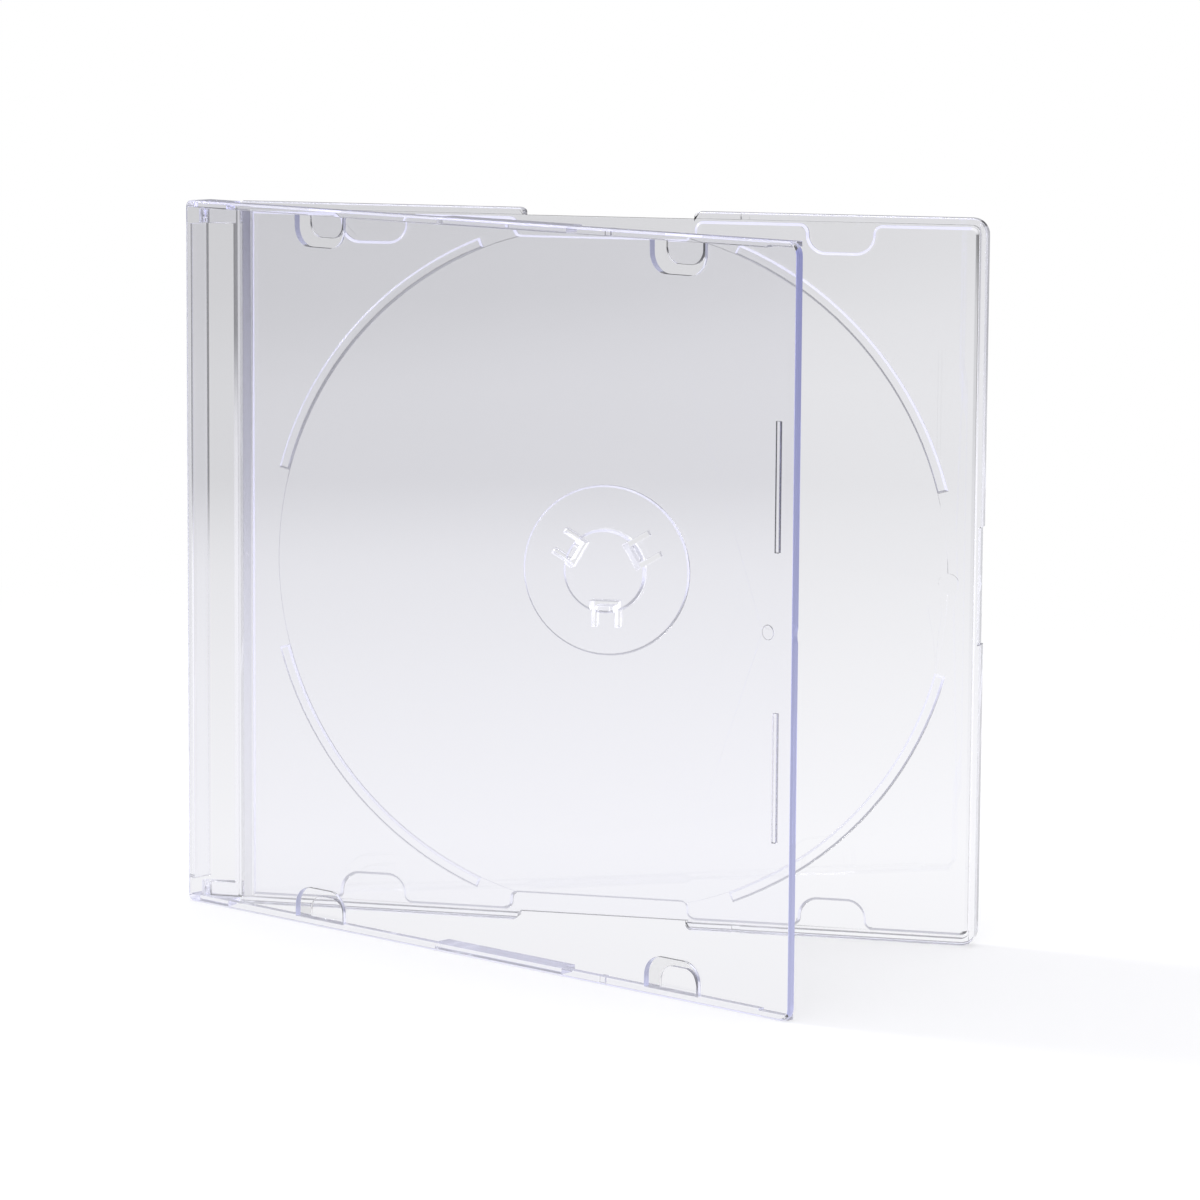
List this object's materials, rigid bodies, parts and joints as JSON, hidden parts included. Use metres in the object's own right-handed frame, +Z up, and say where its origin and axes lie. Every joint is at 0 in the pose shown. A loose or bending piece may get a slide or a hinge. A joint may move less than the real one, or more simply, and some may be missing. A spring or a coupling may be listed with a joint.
{
  "type": "slim disc case",
  "caption": "Slim hinged disc case in clear plastic, standing on its long edge with the lid ajar; round clawed hub in the tray and booklet tabs on the lid.",
  "frame": {"origin": "on the hinge axis, at the floor the case stands on", "axes": "+X along the tray from the hinge to its free end, +Z up along the hinge axis, -Y towards the side the lid opens to"},
  "size_m": [0.1427, 0.0711, 0.125],
  "materials": {
    "tray_polystyrene": "clear gloss",
    "lid_polystyrene": "clear gloss"
  },
  "bodies": {
    "base_tray": {"base_tray": "tray_polystyrene"},
    "lid": {"lid": "lid_polystyrene"}
  },
  "joints": [
    {"name": "lid_hinge", "type": "hinge", "parent": "base_tray", "child": "lid", "pos_m": [0, 0, 0.0625], "axis": [0, 0, -1], "range_deg": [-28, 152]}
  ]
}
